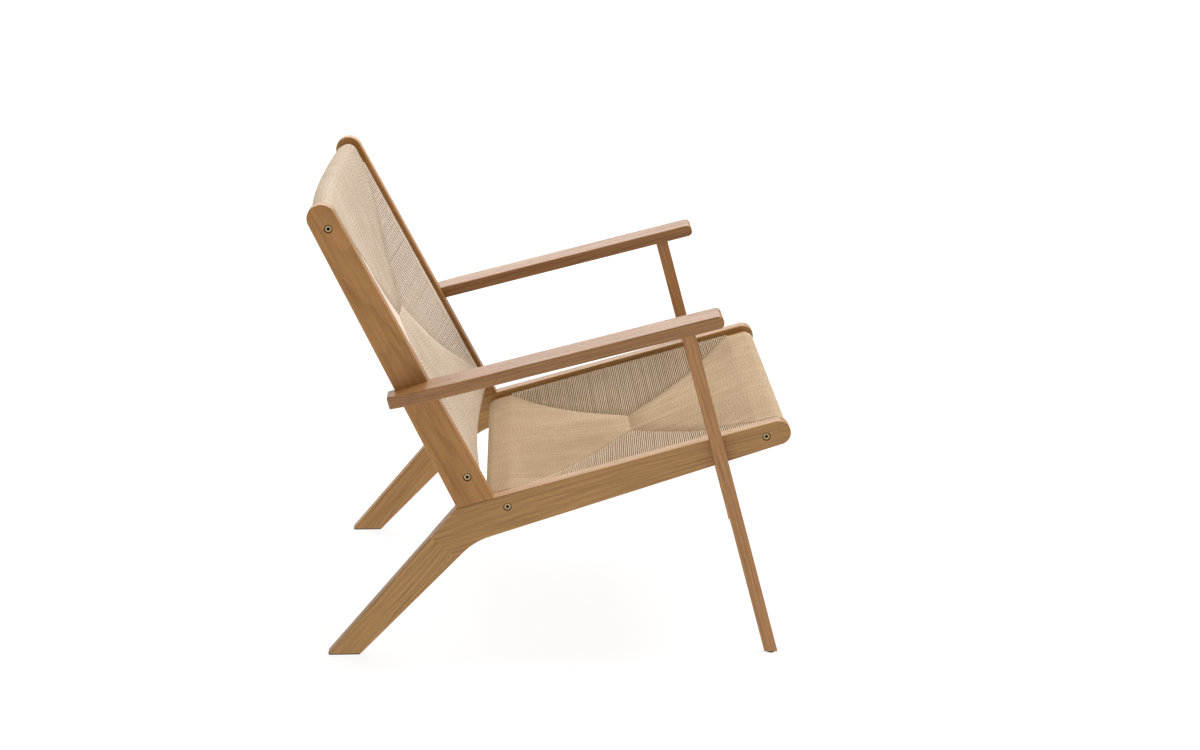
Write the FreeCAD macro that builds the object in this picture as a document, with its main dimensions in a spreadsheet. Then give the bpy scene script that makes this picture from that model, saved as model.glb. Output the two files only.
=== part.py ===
import FreeCAD, Part
import math
import os

import Sketcher

# Lounge armchair: two glued side frames carry a seat panel and a back panel of woven paper cord.
#
# The side view is drawn as (forward, up) from the back corner of the rear feet on the floor.
# In the row's frame forward is -Y, up is +Z, and +X is the sitter's left. The origin is on the
# floor in the middle of the chair's box.
#
# "Knee" is the corner where the top of the seat rail meets the front of the back post. "Heel" is
# the other end of that joint, where the back of the post meets the back of the rear leg. A panel
# lies between the side frames. Its own frame starts at the knee: x across the chair, y along the
# panel (backwards on the seat, upwards on the back), z out of the face that the sitter touches.

SIZES = [
    # alias, value in mm or degrees, what it is
    ("seat_width", 552, "between the inner faces of the two side frames"),
    ("frame_thick", 26, "board of the side frames"),
    ("edge_ease", 2.5, "rounding of the long edges"),
    ("knee_forward", 270.4, "knee, from the rear feet"),
    ("knee_up", 263.7, "knee, above the floor"),
    ("seat_pitch", 15.3, "rise of the rail's top towards the front"),
    ("back_recline", 27, "post's front edge from the vertical"),
    ("rail_reach", 480.5, "rail, from the knee to its nose"),
    ("rail_knee_depth", 60, "rail's depth below the knee"),
    ("rail_nose_depth", 38.5, "rail's depth at its nose"),
    ("post_reach", 540.3, "post, from the knee to its top"),
    ("post_foot_length", 60.2, "joint of the post and the rail, from knee to heel"),
    ("post_top_width", 44, "post's width at its top"),
    ("foot_length", 52.3, "rear foot along the floor"),
    ("scarf_reach", 262, "joint of leg and rail, up the back of the leg"),
    ("scarf_width", 55, "width of that joint"),
    ("elbow_radius", 105, "hollow under the elbow"),
    ("front_leg_setback", 118, "front leg's centre line behind the rail's nose"),
    ("front_leg_lean", 14.75, "front leg from the vertical"),
    ("front_leg_length", 556, "floor to the armrest, along the leg"),
    ("front_leg_width", 21, "front leg in the side view"),
    ("front_leg_thick", 16, "front leg across the chair"),
    ("arm_slope", 14.07, "rise of the armrest"),
    ("arm_overhang", 58, "armrest in front of the leg's centre line"),
    ("arm_tail", 15, "armrest behind the post"),
    ("arm_width", 58, "armrest across the chair"),
    ("arm_thick", 20, "armrest board"),
    ("arm_tip_radius", 8.5, "rounding of the armrest's front end"),
    ("arm_notch", 10, "how deep the armrest is notched round the post"),
    ("arm_waist_length", 125, "stretch where the tail narrows"),
    ("arm_waist_depth", 17, "how much the tail narrows"),
    ("glide_thick", 1.5, "pads under the feet"),
    ("glide_inset", 1.5, "pads, in from the foot's edges"),
    ("bar_width", 41, "panel's cross bars along the panel"),
    ("bar_thick", 30, "panel's bars, front to back"),
    ("side_bar_width", 21, "panel's side bars across the chair"),
    ("bar_round", 12, "outer long edges of the cross bars"),
    ("bar_inner_round", 5, "inner long edges of the cross bars"),
    ("cord_thick", 3.5, "paper cord, and how far the weave stands off the bars"),
    ("cord_play", 0.3, "weave clear of the bars inside it"),
    ("weave_recess", 6, "weave below the rail's top and the post's front"),
    ("panel_gap", 0.25, "panel to side frame, each side"),
    ("nose_margin", 3, "weave behind the rail's nose"),
    ("crown_margin", 8, "weave below the post's top"),
    ("seat_start", 25.5, "knee to the seat's opening"),
    ("back_start", 62, "knee to the back's opening"),
    ("back_bow", 12, "how far the back's cross bars bow backwards"),
    ("seat_dish", 30, "hollow in the middle of the seat weave"),
    ("back_dish", 29, "hollow in the middle of the back weave"),
    ("dish_rim", 55, "steep rim of the hollow"),
    ("bolt_depth", 20, "panel bolts behind the rail's top and the post's front"),
    ("seat_bolt_inset", 8, "seat bolts beyond the opening"),
    ("back_bolt_inset", 12, "back bolts beyond the opening"),
    ("bolt_diameter", 6, "panel bolt"),
    ("bolt_head_diameter", 10, "panel bolt's head"),
    ("bolt_head_height", 6, "panel bolt's head"),
    ("bolt_head_recess", 1.8, "head below the frame's face"),
    ("bolt_socket", 5, "hex socket across flats"),
    ("bolt_socket_depth", 3.2, "hex socket"),
    ("insert_diameter", 9.5, "threaded insert"),
    ("insert_length", 14, "threaded insert"),
    ("dowel_diameter", 8, "wooden dowel"),
    ("dowel_length", 36, "wooden dowel"),
    ("arm_dowel_length", 26, "dowel at the top of the front leg"),
    ("corner_dowel_length", 32, "dowel in a panel's corner"),
    ("corner_dowel_depth", 14, "corner dowel's part in the side bar"),
    ("corner_dowel_near", 24, "corner dowel beyond the opening"),
    ("corner_dowel_far", 34, "second corner dowel beyond the opening"),
    ("screw_diameter", 4.5, "wood screw"),
    ("screw_head_diameter", 9, "wood screw's countersunk head"),
    ("screw_head_height", 3, "wood screw's countersunk head"),
    ("arm_screw_bite", 20, "screw's length in the armrest"),
    ("leg_screw_bite", 11, "screw's length in the front leg"),
    ("screw_spread", 15, "between the two screws of a front leg"),
    ("bolt_play", 0.3, "bolt in its hole, each side"),
    ("head_play", 1.6, "bolt's head in its counterbore, each side"),
    ("fit_play", 0.05, "dowels, inserts and screws in their holes, each side"),
    ("end_play", 1, "space at the end of a blind hole"),
]

LAYOUT = [
    # alias, formula, what it is
    ("cos_pitch", "cos(Sizes.seat_pitch)", ""),
    ("sin_pitch", "sin(Sizes.seat_pitch)", ""),
    ("cos_recline", "cos(Sizes.back_recline)", ""),
    ("sin_recline", "sin(Sizes.back_recline)", ""),
    ("cos_lean", "cos(Sizes.front_leg_lean)", ""),
    ("sin_lean", "sin(Sizes.front_leg_lean)", ""),
    ("cos_arm", "cos(Sizes.arm_slope)", ""),
    ("sin_arm", "sin(Sizes.arm_slope)", ""),
    # rear leg, seat rail and their joint
    ("heel_forward", "Sizes.knee_forward - Sizes.post_foot_length * cos_pitch", "heel"),
    ("heel_up", "Sizes.knee_up - Sizes.post_foot_length * sin_pitch", ""),
    ("leg_back_length", "sqrt(heel_forward ^ 2 + heel_up ^ 2)", "back of the leg, floor to heel"),
    ("cos_leg", "heel_forward / leg_back_length", ""),
    ("sin_leg", "heel_up / leg_back_length", ""),
    ("scarf_back_forward", "Sizes.scarf_reach * cos_leg", "back end of the joint"),
    ("scarf_back_up", "Sizes.scarf_reach * sin_leg", ""),
    ("scarf_front_forward", "scarf_back_forward + Sizes.scarf_width * sin_leg", "front end of the joint"),
    ("scarf_front_up", "scarf_back_up - Sizes.scarf_width * cos_leg", ""),
    ("leg_back_toe", "Sizes.glide_thick * cos_leg / sin_leg", "back of the leg at the pad"),
    ("leg_front_run", "(scarf_front_forward - Sizes.foot_length) / scarf_front_up", "front of the leg"),
    ("leg_front_toe", "Sizes.foot_length + Sizes.glide_thick * leg_front_run", ""),
    ("rail_tip_forward", "Sizes.knee_forward + Sizes.rail_reach * cos_pitch", "nose, top corner"),
    ("rail_tip_up", "Sizes.knee_up + Sizes.rail_reach * sin_pitch", ""),
    ("rail_chin_forward", "rail_tip_forward + Sizes.rail_nose_depth * sin_pitch", "nose, lower corner"),
    ("rail_chin_up", "rail_tip_up - Sizes.rail_nose_depth * cos_pitch", ""),
    ("rail_belly_forward", "Sizes.knee_forward + Sizes.rail_knee_depth * sin_pitch", "below the knee"),
    ("rail_belly_up", "Sizes.knee_up - Sizes.rail_knee_depth * cos_pitch", ""),
    ("belly_rise", "(rail_chin_up - rail_belly_up) / (rail_chin_forward - rail_belly_forward)", ""),
    ("elbow_up", "(rail_belly_up + belly_rise * (Sizes.foot_length - rail_belly_forward))"
                 " / (1 - belly_rise * leg_front_run)", "corner under the elbow"),
    ("elbow_forward", "Sizes.foot_length + leg_front_run * elbow_up", ""),
    # back post
    ("post_crown_forward", "Sizes.knee_forward - Sizes.post_reach * sin_recline", "top, front corner"),
    ("post_crown_up", "Sizes.knee_up + Sizes.post_reach * cos_recline", ""),
    ("post_nape_forward", "post_crown_forward - Sizes.post_top_width * cos_recline", "top, back corner"),
    ("post_nape_up", "post_crown_up - Sizes.post_top_width * sin_recline", ""),
    ("post_back_run", "(post_nape_forward - heel_forward) / (post_nape_up - heel_up)", ""),
    # front leg: its centre line crosses the rail's top, and ends on the armrest's underside
    ("cross_reach", "Sizes.rail_reach - Sizes.front_leg_setback", "knee to the crossing"),
    ("cross_forward", "Sizes.knee_forward + cross_reach * cos_pitch", ""),
    ("cross_up", "Sizes.knee_up + cross_reach * sin_pitch", ""),
    ("toe_forward", "cross_forward + cross_up * sin_lean / cos_lean", "leg's centre line on the floor"),
    ("seat_of_arm_forward", "toe_forward - Sizes.front_leg_length * sin_lean", "leg's centre line, top"),
    ("seat_of_arm_up", "Sizes.front_leg_length * cos_lean", ""),
    ("leg_half_slant", "Sizes.front_leg_width / 2 / cos(Sizes.arm_slope - Sizes.front_leg_lean)", ""),
    ("toe_half", "Sizes.front_leg_width / 2 / cos_lean", ""),
    ("toe_shift", "Sizes.glide_thick * sin_lean / cos_lean", ""),
    # armrest, starting from the top of the front leg
    ("arm_front_forward", "seat_of_arm_forward + Sizes.arm_overhang * cos_arm", "front end, underside"),
    ("arm_front_up", "seat_of_arm_up + Sizes.arm_overhang * sin_arm", ""),
    ("arm_rise", "sin_arm / cos_arm", ""),
    ("arm_post_up", "(seat_of_arm_up + arm_rise * (heel_forward - post_back_run * heel_up"
                    " - seat_of_arm_forward)) / (1 - arm_rise * post_back_run)",
     "underside at the post's back"),
    ("arm_post_forward", "heel_forward + post_back_run * (arm_post_up - heel_up)", ""),
    ("arm_rear_forward", "arm_post_forward - Sizes.arm_tail * cos_arm", "rear end, underside"),
    ("arm_rear_up", "arm_post_up - Sizes.arm_tail * sin_arm", ""),
    # across the chair, measured from its middle
    ("frame_inner", "Sizes.seat_width / 2", "side frame's inner face"),
    ("frame_outer", "frame_inner + Sizes.frame_thick", "side frame's outer face"),
    ("frame_middle", "frame_inner + Sizes.frame_thick / 2", ""),
    ("front_leg_middle", "frame_outer + Sizes.front_leg_thick / 2", ""),
    ("arm_inner", "frame_outer - Sizes.arm_notch", ""),
    ("arm_middle", "arm_inner + Sizes.arm_width / 2", ""),
    # panels, in their own frame
    ("panel_half", "frame_inner - Sizes.panel_gap", "outer face of the side bars"),
    ("opening_half", "panel_half - Sizes.side_bar_width", "inner face of the side bars"),
    ("bar_top", "-Sizes.weave_recess - Sizes.cord_thick", "face of the bars towards the sitter"),
    ("bar_bottom", "bar_top - Sizes.bar_thick", ""),
    ("weave_top", "-Sizes.weave_recess", ""),
    ("weave_bottom", "bar_bottom - Sizes.cord_thick", ""),
    ("seat_opening", "Sizes.rail_reach - Sizes.seat_start - Sizes.bar_width - Sizes.cord_thick"
                     " - Sizes.nose_margin", "length of the seat's opening"),
    ("seat_low", "-Sizes.seat_start - seat_opening", "front of the seat's opening"),
    ("seat_high", "-Sizes.seat_start", "rear of the seat's opening"),
    ("back_opening", "Sizes.post_reach - Sizes.back_start - Sizes.bar_width - Sizes.cord_thick"
                     " - Sizes.crown_margin", "length of the back's opening"),
    ("back_low", "Sizes.back_start", "bottom of the back's opening"),
    ("back_high", "Sizes.back_start + back_opening", "top of the back's opening"),
    ("bolt_reach", "Sizes.frame_thick - Sizes.bolt_head_recess - Sizes.bolt_head_height + Sizes.panel_gap"
                   " + Sizes.side_bar_width + Sizes.insert_length", "panel bolt under its head"),
    ("arm_screw_length", "Sizes.frame_thick + Sizes.arm_screw_bite", ""),
    ("leg_screw_length", "Sizes.frame_thick + Sizes.leg_screw_bite", ""),
    ("bow_radius", "(opening_half ^ 2 + Sizes.back_bow ^ 2) / 2 / Sizes.back_bow", ""),
    ("arm_waist_radius", "(Sizes.arm_waist_length ^ 2 + Sizes.arm_waist_depth ^ 2) / 2"
                         " / Sizes.arm_waist_depth", ""),
    # the chair's box, for the origin
    ("nose_radius", "Sizes.rail_nose_depth / 2 * 0.995", "rounding of the rail's nose"),
    ("crown_radius", "Sizes.post_top_width / 2 * 0.995", "rounding of the post's top"),
    ("front_limit", "rail_tip_forward - nose_radius * (cos_pitch - sin_pitch) + nose_radius", ""),
    ("post_limit", "post_nape_forward + crown_radius * (sin_recline + cos_recline) - crown_radius",
     "rearmost of the post's top"),
    ("weave_round", "Sizes.bar_round + Sizes.cord_thick", "rounding of the weave's outer edges"),
    ("weave_limit", "Sizes.knee_forward - (back_high + Sizes.bar_width + Sizes.cord_thick - weave_round)"
                    " * sin_recline + (weave_bottom - Sizes.back_bow + weave_round) * cos_recline"
                    " - weave_round", "rearmost of the back's bowed top"),
    ("rear_limit", "min(post_limit; weave_limit)", ""),
    ("middle_forward", "(front_limit + rear_limit) / 2", "origin, from the rear feet"),
]

NODES = []      # the finished sub-parts, in order


# ---------------------------------------------------------------- document and sheets

doc = FreeCAD.newDocument("Armchair")


def fill_sheet(name, rows, formula):
    sheet = doc.addObject("Spreadsheet::Sheet", name)
    for row, (alias, content, note) in enumerate(rows, start=1):
        sheet.set(f"A{row}", f"={content}" if formula else str(content))
        sheet.setAlias(f"A{row}", alias)
        sheet.set(f"B{row}", note)
    doc.recompute()
    return sheet


sizes = fill_sheet("Sizes", SIZES, formula=False)
layout = fill_sheet("Layout", LAYOUT, formula=True)


def value(expression):
    """The number that an expression over the two sheets gives now."""
    return float(layout.evalExpression(str(expression)))


def size(name):
    """Expression for one cell, in whichever sheet holds it."""
    if any(name == alias for alias, _, _ in SIZES):
        return f"Sizes.{name}"
    return f"Layout.{name}"


def number(name):
    return value(size(name))


# ---------------------------------------------------------------- places

SIDES = (("right", -1), ("left", 1))


def side_view_place(across):
    """Frame of a piece drawn in the side view: its X is forward, its Y is across, its Z is up."""
    turn = FreeCAD.Rotation(FreeCAD.Vector(0, 0, 1), -90)
    return FreeCAD.Placement(FreeCAD.Vector(across, number("middle_forward"), 0), turn)


def side_view_point(across, forward, up):
    return FreeCAD.Vector(across, number("middle_forward") - forward, up)


def panel_place(tilt, x=0, y=0, z=0):
    """Frame of a panel, or of a piece at (x, y, z) in it. The tilt is about the X axis."""
    turn = FreeCAD.Rotation(FreeCAD.Vector(1, 0, 0), tilt)
    knee = side_view_point(0, number("knee_forward"), number("knee_up"))
    return FreeCAD.Placement(knee + turn.multVec(FreeCAD.Vector(x, y, z)), turn)


def place(thing, placement):
    thing.Placement = placement
    return thing


# ---------------------------------------------------------------- small builders

def bind(thing, **properties):
    for name, expression in properties.items():
        thing.setExpression(name, str(expression))
    return thing


def node(thing, name):
    thing.Label = name
    NODES.append(thing)
    return thing


def sketch(body, name, plane, corners, bends=None):
    """A closed outline. Each corner is two expressions; a bend makes the side after a corner an arc,
    as (radius expression, bulge in the second direction)."""
    bends = bends or {}
    outline = body.newObject("Sketcher::SketchObject", name)
    origin_plane = next(item for item in body.Origin.OriginFeatures if item.Role == plane)
    outline.AttachmentSupport = [(origin_plane, "")]
    outline.MapMode = "FlatFace"
    points = [FreeCAD.Vector(value(a), value(b), 0) for a, b in corners]
    starts = []
    for index, start in enumerate(points):
        end = points[(index + 1) % len(points)]
        if index in bends:
            middle = (start + end) / 2 + FreeCAD.Vector(0, bends[index][1], 0)
            outline.addGeometry(Part.Arc(start, middle, end))
        else:
            outline.addGeometry(Part.LineSegment(start, end))
        flipped = (outline.getPoint(index, 1) - start).Length > (outline.getPoint(index, 2) - start).Length
        starts.append(2 if flipped else 1)
    for index, start in enumerate(starts):
        following = (index + 1) % len(points)
        outline.addConstraint(
            Sketcher.Constraint("Coincident", index, 3 - start, following, starts[following]))
    for index, (a, b) in enumerate(corners):
        for kind, expression in (("DistanceX", a), ("DistanceY", b)):
            datum = Sketcher.Constraint(kind, -1, 1, index, starts[index], value(expression))
            number_of_datum = outline.addConstraint(datum)
            outline.setExpression(f"Constraints[{number_of_datum}]", str(expression))
    for index, (radius, _) in bends.items():
        number_of_datum = outline.addConstraint(Sketcher.Constraint("Radius", index, value(radius)))
        outline.setExpression(f"Constraints[{number_of_datum}]", str(radius))
    return outline


def pad(body, outline, length, midplane=False):
    feature = body.newObject("PartDesign::Pad", outline.Name + "Pad")
    feature.Profile = outline
    feature.SideType = "Symmetric" if midplane else "One side"
    bind(feature, Length=length)
    body.Tip = feature
    doc.recompute()
    return feature


def fillet(body, radius, wanted):
    """Rounds the edges of the body so far for which wanted(edge) is true."""
    base = body.Tip
    names = [f"Edge{i}" for i, edge in enumerate(base.Shape.Edges, start=1) if wanted(edge)]
    feature = body.newObject("PartDesign::Fillet", f"{body.Name}Round")
    feature.Base = (base, names)
    bind(feature, Radius=radius)
    body.Tip = feature
    doc.recompute()
    return feature


def crosses(edge, a, b, axis="y", slack=0.05):
    """True for a straight edge along the given axis that passes the point (a, b) of the other two."""
    others = [name for name in "xyz" if name != axis]
    ends = [vertex.Point for vertex in edge.Vertexes]
    if len(ends) != 2:
        return False
    return all(abs(getattr(end, others[0]) - a) < slack and abs(getattr(end, others[1]) - b) < slack
               for end in ends)


def round_corner(body, corner, radius):
    """Rounds the corner of a side view, an edge across the board through (forward, up)."""
    forward, up = value(corner[0]), value(corner[1])
    fillet(body, radius, lambda edge: crosses(edge, forward, up))


def cylinder(name, radius, height, placement):
    shape = doc.addObject("Part::Cylinder", name)
    bind(shape, Radius=radius, Height=height)
    return place(shape, placement)


def box(name, length, width, height, placement):
    shape = doc.addObject("Part::Box", name)
    bind(shape, Length=length, Width=width, Height=height)
    return place(shape, placement)


def cut(name, base, tools):
    tool = tools[0]
    if len(tools) > 1:
        tool = doc.addObject("Part::MultiFuse", name + "_cutters")
        tool.Shapes = tools
    result = doc.addObject("Part::Cut", name + "_cut")
    result.Base = base
    result.Tool = tool
    return result


def fuse(name, shapes):
    result = doc.addObject("Part::MultiFuse", name)
    result.Shapes = shapes
    return result


def group(name, shapes):
    result = doc.addObject("Part::Compound", name + "_group")
    result.Links = shapes
    return node(result, name)


def across_axis(side, x, forward, up):
    """Frame whose Z points out of the chair on the given side, starting at x from the middle."""
    turn = FreeCAD.Rotation(FreeCAD.Vector(0, 1, 0), 90 * side)
    return FreeCAD.Placement(side_view_point(side * x, forward, up), turn)


def leaning_axis(across, forward, up, lean):
    """Frame whose Z leans forward by an angle from the vertical."""
    turn = FreeCAD.Rotation(FreeCAD.Vector(1, 0, 0), lean)
    return FreeCAD.Placement(side_view_point(across, forward, up), turn)


# ---------------------------------------------------------------- places of the fasteners

def panel_point(panel, y, z):
    """(forward, up) of a point of a panel's frame."""
    at = panel_place(panel["tilt"], 0, y, z).Base
    return number("middle_forward") - at.y, at.z


SEAT = {
    "name": "seat",
    "tilt": -number("seat_pitch"),
    "low": "Layout.seat_low",
    "high": "Layout.seat_high",
    "low_bar": "front",
    "high_bar": "rear",
    "bowed": False,
    "dish": "Sizes.seat_dish",
    "inset": number("seat_bolt_inset"),
}
BACK = {
    "name": "back",
    "tilt": 90 - number("back_recline"),
    "low": "Layout.back_low",
    "high": "Layout.back_high",
    "low_bar": "bottom",
    "high_bar": "top",
    "bowed": True,
    "dish": "Sizes.back_dish",
    "inset": number("back_bolt_inset"),
}


def bolt_places(panel):
    """Where the two bolts of each side stand, along the panel."""
    return value(panel["low"]) - panel["inset"], value(panel["high"]) + panel["inset"]


def panel_bolt_points(panel):
    return [panel_point(panel, y, -number("bolt_depth")) for y in bolt_places(panel)]


def leg_screw_points():
    """The two screws of a front leg stand one above the other on its centre line."""
    middle = number("cross_reach")
    depth = (number("rail_knee_depth")
             - (number("rail_knee_depth") - number("rail_nose_depth")) * middle / number("rail_reach"))
    points = []
    for step in (-0.5, 0.5):
        drop = depth / 2 + step * number("screw_spread")
        forward = number("cross_forward") + drop * number("sin_lean")
        points.append((forward, number("cross_up") - drop * number("cos_lean")))
    return points


def arm_screw_point():
    """In the middle of the post, at half the armrest's thickness."""
    up = number("arm_post_up") + number("arm_thick") / 2
    back = number("heel_forward") + number("post_back_run") * (up - number("heel_up"))
    front = number("knee_forward") - (up - number("knee_up")) * math.tan(math.radians(number("back_recline")))
    middle = (back + front) / 2
    return middle, up + (middle - back) * number("arm_rise")


def scarf_dowel_starts():
    """Dowels of the leg joint: (forward, up) in the joint's plane, at a third and two thirds of it."""
    points = []
    for share in (1 / 3, 2 / 3):
        along = number("scarf_width") * share
        points.append((number("scarf_back_forward") + along * number("sin_leg"),
                       number("scarf_back_up") - along * number("cos_leg")))
    return points


def post_dowel_starts():
    """Dowels of the post joint, on the rail's top between heel and knee."""
    points = []
    for share in (1 / 3, 2 / 3):
        along = number("post_foot_length") * share
        points.append((number("heel_forward") + along * number("cos_pitch"),
                       number("heel_up") + along * number("sin_pitch")))
    return points


def dowel_axis(across, start, lean, length):
    """A dowel's own frame, half its length on each side of the joint."""
    back_off = length / 2
    angle = math.radians(lean)
    return leaning_axis(across, start[0] - back_off * math.sin(angle),
                        start[1] - back_off * math.cos(angle), lean)


LEG_LEAN = 90 - math.degrees(math.atan2(number("heel_up"), number("heel_forward")))
PITCH_LEAN = -number("seat_pitch")
FRONT_LEAN = -number("front_leg_lean")


def dowels(name, across, starts, lean, length="Sizes.dowel_length"):
    made = []
    for index, start in enumerate(starts):
        axis = dowel_axis(across, start, lean, value(length))
        made.append(cylinder(f"{name}_{index}", "Sizes.dowel_diameter / 2", length, axis))
    return made


def dowel_holes(name, across, starts, lean, length="Sizes.dowel_length"):
    made = []
    for index, start in enumerate(starts):
        axis = dowel_axis(across, start, lean, value(length) + 2 * number("end_play"))
        made.append(cylinder(f"{name}_{index}", "Sizes.dowel_diameter / 2 + Sizes.fit_play",
                             f"{length} + 2 * Sizes.end_play", axis))
    return made


def bolt_holes(name, side, points):
    """Counterbored holes through a side frame, open on its outer face."""
    made = []
    for index, (forward, up) in enumerate(points):
        start = number("frame_inner") - 1
        made.append(cylinder(f"{name}_shank_{index}", "Sizes.bolt_diameter / 2 + Sizes.bolt_play",
                             "Sizes.frame_thick + 2", across_axis(side, start, forward, up)))
        seat = number("frame_outer") - number("bolt_head_height") - number("bolt_head_recess")
        made.append(cylinder(f"{name}_head_{index}", "Sizes.bolt_head_diameter / 2 + Sizes.head_play",
                             "Sizes.bolt_head_height + Sizes.bolt_head_recess + 1",
                             across_axis(side, seat, forward, up)))
    return made


def screw_holes(name, side, points, length):
    """Countersunk holes from a side frame's inner face, as deep as the screws."""
    made = []
    for index, (forward, up) in enumerate(points):
        axis = across_axis(side, number("frame_inner"), forward, up)
        shank = cylinder(f"{name}_shank_{index}", "Sizes.screw_diameter / 2 + Sizes.fit_play",
                         f"{length} + Sizes.end_play", axis)
        sink = doc.addObject("Part::Cone", f"{name}_sink_{index}")
        bind(sink, Radius1="Sizes.screw_head_diameter / 2 + Sizes.fit_play",
             Radius2="Sizes.screw_diameter / 2 + Sizes.fit_play", Height="Sizes.screw_head_height")
        place(sink, axis)
        made += [shank, sink]
    return made


# ---------------------------------------------------------------- side frames

SCARF_LINE = ("Layout.scarf_back_forward", "Layout.scarf_back_up",
              "Layout.scarf_front_forward", "Layout.scarf_front_up")
HEEL_LINE = ("Layout.heel_forward", "Layout.heel_up", "Sizes.knee_forward", "Sizes.knee_up")


def board_body(name, side, across, thick, corners, rounds, joint_lines):
    """A board in the side view: its outline, its rounded corners and its eased edges.
    Edges that lie on a joint line, from one (forward, up) point to another, stay sharp."""
    body = doc.addObject("PartDesign::Body", name)
    place(body, side_view_place(side * across))
    outline = sketch(body, name + "_outline", "XZ_Plane", corners)
    pad(body, outline, thick, midplane=True)
    for corner, radius in rounds:
        round_corner(body, corner, radius)
    half = value(thick) / 2
    lines = [tuple(value(part) for part in line) for line in joint_lines]

    def on_joint(point):
        for x1, z1, x2, z2 in lines:
            length = math.hypot(x2 - x1, z2 - z1)
            off = ((point.x - x1) * (z2 - z1) - (point.z - z1) * (x2 - x1)) / length
            if abs(off) < 0.1:
                return True
        return False

    def wanted(edge):
        ends = [vertex.Point for vertex in edge.Vertexes]
        flat = all(abs(abs(end.y) - half) < 0.01 for end in ends)
        same_side = len({end.y > 0 for end in ends}) == 1
        return flat and same_side and not all(on_joint(end) for end in ends)

    fillet(body, "Sizes.edge_ease", wanted)
    return body


def rear_leg(side_name, side):
    name = f"{side_name}_rear_leg"
    body = board_body(
        name + "_body", side, number("frame_middle"), "Sizes.frame_thick",
        [("Layout.leg_back_toe", "Sizes.glide_thick"), ("Layout.leg_front_toe", "Sizes.glide_thick"),
         ("Layout.scarf_front_forward", "Layout.scarf_front_up"),
         ("Layout.scarf_back_forward", "Layout.scarf_back_up")],
        [], [SCARF_LINE])
    across = side * number("frame_middle")
    holes = dowel_holes(name + "_hole", across, scarf_dowel_starts(), LEG_LEAN)
    node(cut(name, body, holes), name)


def seat_rail(side_name, side):
    name = f"{side_name}_seat_rail"
    body = board_body(
        name + "_body", side, number("frame_middle"), "Sizes.frame_thick",
        [("Layout.scarf_back_forward", "Layout.scarf_back_up"),
         ("Layout.scarf_front_forward", "Layout.scarf_front_up"),
         ("Layout.elbow_forward", "Layout.elbow_up"),
         ("Layout.rail_chin_forward", "Layout.rail_chin_up"),
         ("Layout.rail_tip_forward", "Layout.rail_tip_up"),
         ("Sizes.knee_forward", "Sizes.knee_up"),
         ("Layout.heel_forward", "Layout.heel_up")],
        [(("Layout.elbow_forward", "Layout.elbow_up"), "Sizes.elbow_radius"),
         (("Layout.rail_chin_forward", "Layout.rail_chin_up"), "Layout.nose_radius"),
         (("Layout.rail_tip_forward", "Layout.rail_tip_up"), "Layout.nose_radius")],
        [SCARF_LINE, HEEL_LINE])
    across = side * number("frame_middle")
    holes = dowel_holes(name + "_leg_hole", across, scarf_dowel_starts(), LEG_LEAN)
    holes += dowel_holes(name + "_post_hole", across, post_dowel_starts(), PITCH_LEAN)
    holes += bolt_holes(name + "_bolt", side, panel_bolt_points(SEAT))
    holes += screw_holes(name + "_screw", side, leg_screw_points(), "Layout.leg_screw_length")
    node(cut(name, body, holes), name)


def back_post(side_name, side):
    name = f"{side_name}_back_post"
    body = board_body(
        name + "_body", side, number("frame_middle"), "Sizes.frame_thick",
        [("Layout.heel_forward", "Layout.heel_up"),
         ("Sizes.knee_forward", "Sizes.knee_up"),
         ("Layout.post_crown_forward", "Layout.post_crown_up"),
         ("Layout.post_nape_forward", "Layout.post_nape_up")],
        [(("Layout.post_crown_forward", "Layout.post_crown_up"), "Layout.crown_radius"),
         (("Layout.post_nape_forward", "Layout.post_nape_up"), "Layout.crown_radius")],
        [HEEL_LINE])
    across = side * number("frame_middle")
    holes = dowel_holes(name + "_hole", across, post_dowel_starts(), PITCH_LEAN)
    holes += bolt_holes(name + "_bolt", side, panel_bolt_points(BACK))
    holes += screw_holes(name + "_screw", side, [arm_screw_point()], "Layout.arm_screw_length")
    node(cut(name, body, holes), name)


# ---------------------------------------------------------------- front legs and armrests

def front_leg(side_name, side):
    name = f"{side_name}_front_leg"
    top = ("Layout.seat_of_arm_forward", "Layout.seat_of_arm_up")
    body = board_body(
        name + "_body", side, number("front_leg_middle"), "Sizes.front_leg_thick",
        [("Layout.toe_forward - Layout.toe_shift - Layout.toe_half", "Sizes.glide_thick"),
         ("Layout.toe_forward - Layout.toe_shift + Layout.toe_half", "Sizes.glide_thick"),
         (f"{top[0]} + Layout.leg_half_slant * Layout.cos_arm",
          f"{top[1]} + Layout.leg_half_slant * Layout.sin_arm"),
         (f"{top[0]} - Layout.leg_half_slant * Layout.cos_arm",
          f"{top[1]} - Layout.leg_half_slant * Layout.sin_arm")],
        [], [(top[0], top[1], "Layout.arm_front_forward", "Layout.arm_front_up")])
    across = side * number("front_leg_middle")
    holes = dowel_holes(name + "_hole", across, [arm_dowel_start()], FRONT_LEAN, "Sizes.arm_dowel_length")
    holes += screw_holes(name + "_screw", side, leg_screw_points(), "Layout.leg_screw_length")
    node(cut(name, body, holes), name)


def arm_dowel_start():
    return number("seat_of_arm_forward"), number("seat_of_arm_up")


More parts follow.
